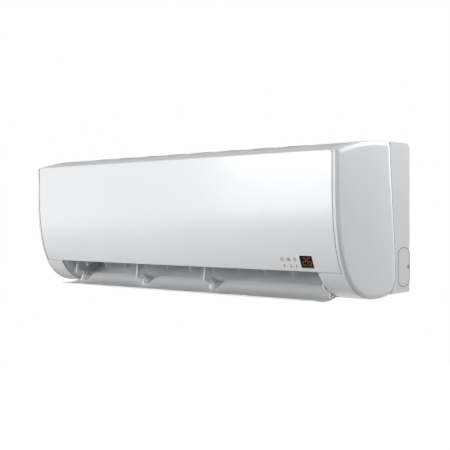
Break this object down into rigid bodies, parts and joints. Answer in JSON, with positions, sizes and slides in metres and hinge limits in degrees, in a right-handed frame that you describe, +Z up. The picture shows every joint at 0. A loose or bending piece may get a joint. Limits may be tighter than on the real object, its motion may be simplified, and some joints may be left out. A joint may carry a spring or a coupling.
{
  "type": "mini split indoor unit",
  "caption": "Wall-hung air conditioner indoor unit: bowed casing, hinged front panel, air outlet with swinging flap and steering vanes, cross-flow fan, coil and wall plate.",
  "frame": {"origin": "on the wall, at the middle of the unit's width, 132.5 mm above its lowest edge, on the back face of the mounting plate", "axes": "+X to the right as one faces the unit, +Y into the wall, +Z up"},
  "size_m": [0.855, 0.2, 0.2697],
  "materials": {
    "gloss_white": "polished injection-moulded white plastic",
    "casing_white": "satin white moulded plastic",
    "inner_white": "plain off-white moulded plastic",
    "smoked_window": "near-black smoked clear plastic",
    "filter_mesh": "fine woven grey mesh in a moulded frame",
    "dark_plastic": "dark moulded plastic",
    "black_rubber": "matt black rubber",
    "circuit_board": "green laminate with solder mask",
    "zinc_steel": "galvanised sheet steel",
    "fin_aluminium": "packed thin aluminium fins",
    "copper_tube": "drawn copper, slightly tarnished",
    "brass_nut": "turned brass"
  },
  "bodies": {
    "casing": {"rear_chassis": "casing_white", "pipe_cover_right": "casing_white", "pipe_cover_left": "casing_white", "wall_plate": "zinc_steel", "right_end_cap": "gloss_white", "left_end_cap": "gloss_white", "front_frame": "gloss_white", "intake_grille": "inner_white", "outlet_duct": "inner_white", "drain_spigot": "black_rubber", "vane_motor": "zinc_steel", "flap_hanger_1": "inner_white", "flap_hanger_2": "inner_white", "flap_hanger_3": "inner_white", "flap_hanger_4": "inner_white", "flap_motor": "zinc_steel", "bearing_bush": "black_rubber", "bearing_holder": "inner_white", "fan_motor": "zinc_steel", "motor_clamp": "inner_white", "coil_front": "fin_aluminium", "coil_upper": "fin_aluminium", "coil_rear": "fin_aluminium", "tube_sheet_right": "copper_tube", "tube_sheet_left": "copper_tube", "coil_sensor": "copper_tube", "gas_pipe": "copper_tube", "liquid_pipe": "copper_tube", "gas_flare_nut": "brass_nut", "liquid_flare_nut": "brass_nut", "pipe_clamp": "inner_white", "filter_right": "filter_mesh", "filter_left": "filter_mesh", "control_box": "inner_white", "control_board": "circuit_board", "terminal_block": "dark_plastic", "control_cover": "inner_white", "display_board": "circuit_board", "case_screw_left": "zinc_steel", "case_screw_right": "zinc_steel"},
    "panel": {"front_panel": "gloss_white", "display_window": "smoked_window"},
    "flap": {"flap": "gloss_white"},
    "crank": {"vane_crank": "inner_white"},
    "link": {"vane_link": "inner_white"},
    "vane_1": {"vane_1": "inner_white"},
    "vane_2": {"vane_2": "inner_white"},
    "vane_3": {"vane_3": "inner_white"},
    "vane_4": {"vane_4": "inner_white"},
    "vane_5": {"vane_5": "inner_white"},
    "vane_6": {"vane_6": "inner_white"},
    "vane_7": {"vane_7": "inner_white"},
    "vane_8": {"vane_8": "inner_white"},
    "vane_9": {"vane_9": "inner_white"},
    "vane_10": {"vane_10": "inner_white"},
    "fan": {"cross_flow_fan": "dark_plastic"},
    "button": {"manual_button": "casing_white"}
  },
  "joints": [
    {"name": "panel_hinge", "type": "hinge", "parent": "casing", "child": "panel", "pos_m": [0, -0.1968, 0.11], "axis": [-1, 0, 0], "range_deg": [0, 60]},
    {"name": "flap_hinge", "type": "hinge", "parent": "casing", "child": "flap", "pos_m": [0, -0.127, -0.1145], "axis": [1, 0, 0], "range_deg": [-50.5, 30]},
    {"name": "crank_turn", "type": "hinge", "parent": "casing", "child": "crank", "pos_m": [0.385, -0.15, -0.075], "axis": [0, 0, 1], "range_deg": [-25, 25]},
    {"name": "link_slide", "type": "slide", "parent": "casing", "child": "link", "axis": [-1, 0, 0], "range_m": [-0.0076, 0.0076]},
    {"name": "vane_1_turn", "type": "hinge", "parent": "casing", "child": "vane_1", "pos_m": [-0.297, -0.15, -0.066], "axis": [0, 0, 1], "range_deg": [-25.5, 25.5]},
    {"name": "vane_2_turn", "type": "hinge", "parent": "casing", "child": "vane_2", "pos_m": [-0.231, -0.15, -0.066], "axis": [0, 0, 1], "range_deg": [-25.5, 25.5]},
    {"name": "vane_3_turn", "type": "hinge", "parent": "casing", "child": "vane_3", "pos_m": [-0.165, -0.15, -0.066], "axis": [0, 0, 1], "range_deg": [-25.5, 25.5]},
    {"name": "vane_4_turn", "type": "hinge", "parent": "casing", "child": "vane_4", "pos_m": [-0.099, -0.15, -0.066], "axis": [0, 0, 1], "range_deg": [-25.5, 25.5]},
    {"name": "vane_5_turn", "type": "hinge", "parent": "casing", "child": "vane_5", "pos_m": [-0.033, -0.15, -0.066], "axis": [0, 0, 1], "range_deg": [-25.5, 25.5]},
    {"name": "vane_6_turn", "type": "hinge", "parent": "casing", "child": "vane_6", "pos_m": [0.033, -0.15, -0.066], "axis": [0, 0, 1], "range_deg": [-25.5, 25.5]},
    {"name": "vane_7_turn", "type": "hinge", "parent": "casing", "child": "vane_7", "pos_m": [0.099, -0.15, -0.066], "axis": [0, 0, 1], "range_deg": [-25.5, 25.5]},
    {"name": "vane_8_turn", "type": "hinge", "parent": "casing", "child": "vane_8", "pos_m": [0.165, -0.15, -0.066], "axis": [0, 0, 1], "range_deg": [-25.5, 25.5]},
    {"name": "vane_9_turn", "type": "hinge", "parent": "casing", "child": "vane_9", "pos_m": [0.231, -0.15, -0.066], "axis": [0, 0, 1], "range_deg": [-25.5, 25.5]},
    {"name": "vane_10_turn", "type": "hinge", "parent": "casing", "child": "vane_10", "pos_m": [0.297, -0.15, -0.066], "axis": [0, 0, 1], "range_deg": [-25.5, 25.5]},
    {"name": "fan_spin", "type": "hinge", "parent": "casing", "child": "fan", "pos_m": [0, -0.098, -0.018], "axis": [1, 0, 0], "continuous": true},
    {"name": "button_press", "type": "slide", "parent": "casing", "child": "button", "axis": [0, 1, 0], "range_m": [0, 0.0015], "stiffness_N_per_m": 300}
  ],
  "couplings": [
    {"joint": "link_slide", "follows": "crank_turn", "m_per_rad": 0.017},
    {"joint": "vane_1_turn", "follows": "crank_turn", "ratio": 1},
    {"joint": "vane_2_turn", "follows": "crank_turn", "ratio": 1},
    {"joint": "vane_3_turn", "follows": "crank_turn", "ratio": 1},
    {"joint": "vane_4_turn", "follows": "crank_turn", "ratio": 1},
    {"joint": "vane_5_turn", "follows": "crank_turn", "ratio": 1},
    {"joint": "vane_6_turn", "follows": "crank_turn", "ratio": 1},
    {"joint": "vane_7_turn", "follows": "crank_turn", "ratio": 1},
    {"joint": "vane_8_turn", "follows": "crank_turn", "ratio": 1},
    {"joint": "vane_9_turn", "follows": "crank_turn", "ratio": 1},
    {"joint": "vane_10_turn", "follows": "crank_turn", "ratio": 1}
  ]
}
